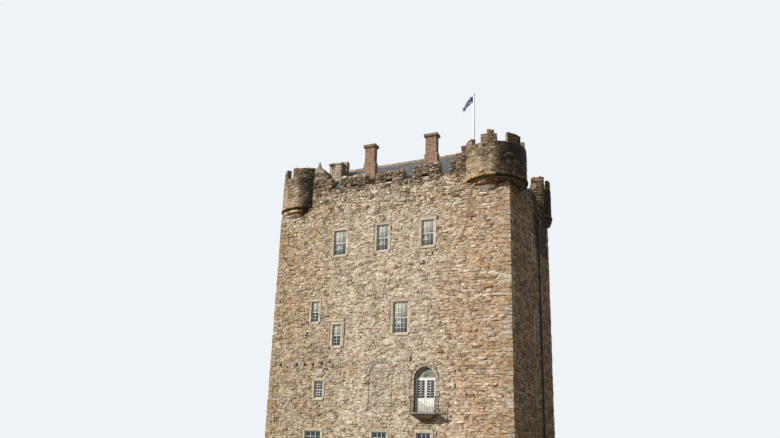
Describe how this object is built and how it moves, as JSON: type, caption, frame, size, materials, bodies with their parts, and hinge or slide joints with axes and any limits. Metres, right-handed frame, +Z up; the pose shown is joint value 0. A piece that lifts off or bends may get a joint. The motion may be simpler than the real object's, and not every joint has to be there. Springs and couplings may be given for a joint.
{
  "type": "castle keep",
  "caption": "Rectangular rubble stone tower house with corbelled round corner turrets, crenellated parapet, gabled slate roof, chimneys, sash windows and a small balcony.",
  "frame": {"origin": "middle of the plan at ground level", "axes": "+Z up, the front with the balcony faces -Y, +X to its right"},
  "size_m": [20.2398, 13.64, 27.995],
  "materials": {
    "rubble_stone": "matte",
    "dressed_stone": "matte",
    "floor_stone": "matte",
    "floor_timber": "matte",
    "slate": "satin",
    "brick": "matte",
    "white_paint": "satin",
    "window_glass": "gloss",
    "door_oak": "matte",
    "iron": "satin",
    "pole_paint": "satin",
    "flag_cloth": "matte"
  },
  "bodies": {
    "root": {"back_left_turret": "rubble_stone", "back_left_turret_parapet": "rubble_stone", "back_parapet": "rubble_stone", "back_right_turret": "rubble_stone", "back_right_turret_parapet": "rubble_stone", "back_sashes": "white_paint", "back_wall": "rubble_stone", "balcony_bracket": "dressed_stone", "balcony_door_frame": "white_paint", "balcony_door_glass": "window_glass", "balcony_doors": "white_paint", "balcony_railing": "iron", "balcony_slab": "dressed_stone", "brick_chimney_copings": "dressed_stone", "brick_chimneys": "brick", "downpipe": "iron", "entrance_door": "door_oak", "first_floor": "floor_timber", "flag": "flag_cloth", "flagpole": "pole_paint", "front_left_turret": "rubble_stone", "front_left_turret_parapet": "rubble_stone", "front_parapet": "rubble_stone", "front_right_turret": "rubble_stone", "front_right_turret_parapet": "rubble_stone", "front_sashes": "white_paint", "front_wall": "rubble_stone", "front_wall_upper": "rubble_stone", "gable_door": "door_oak", "ground_floor": "floor_stone", "left_gable": "rubble_stone", "left_parapet": "rubble_stone", "left_sashes": "white_paint", "left_wall": "rubble_stone", "pointed_merlon": "rubble_stone", "right_gable": "rubble_stone", "right_parapet": "rubble_stone", "right_sashes": "white_paint", "right_wall": "rubble_stone", "roof_back_slope": "slate", "roof_front_slope": "slate", "roof_ridge": "dressed_stone", "second_floor": "floor_timber", "stone_chimney": "rubble_stone", "stone_chimney_coping": "dressed_stone", "third_floor": "floor_timber", "wall_walk": "dressed_stone", "window_glass": "window_glass"}
  },
  "joints": []
}
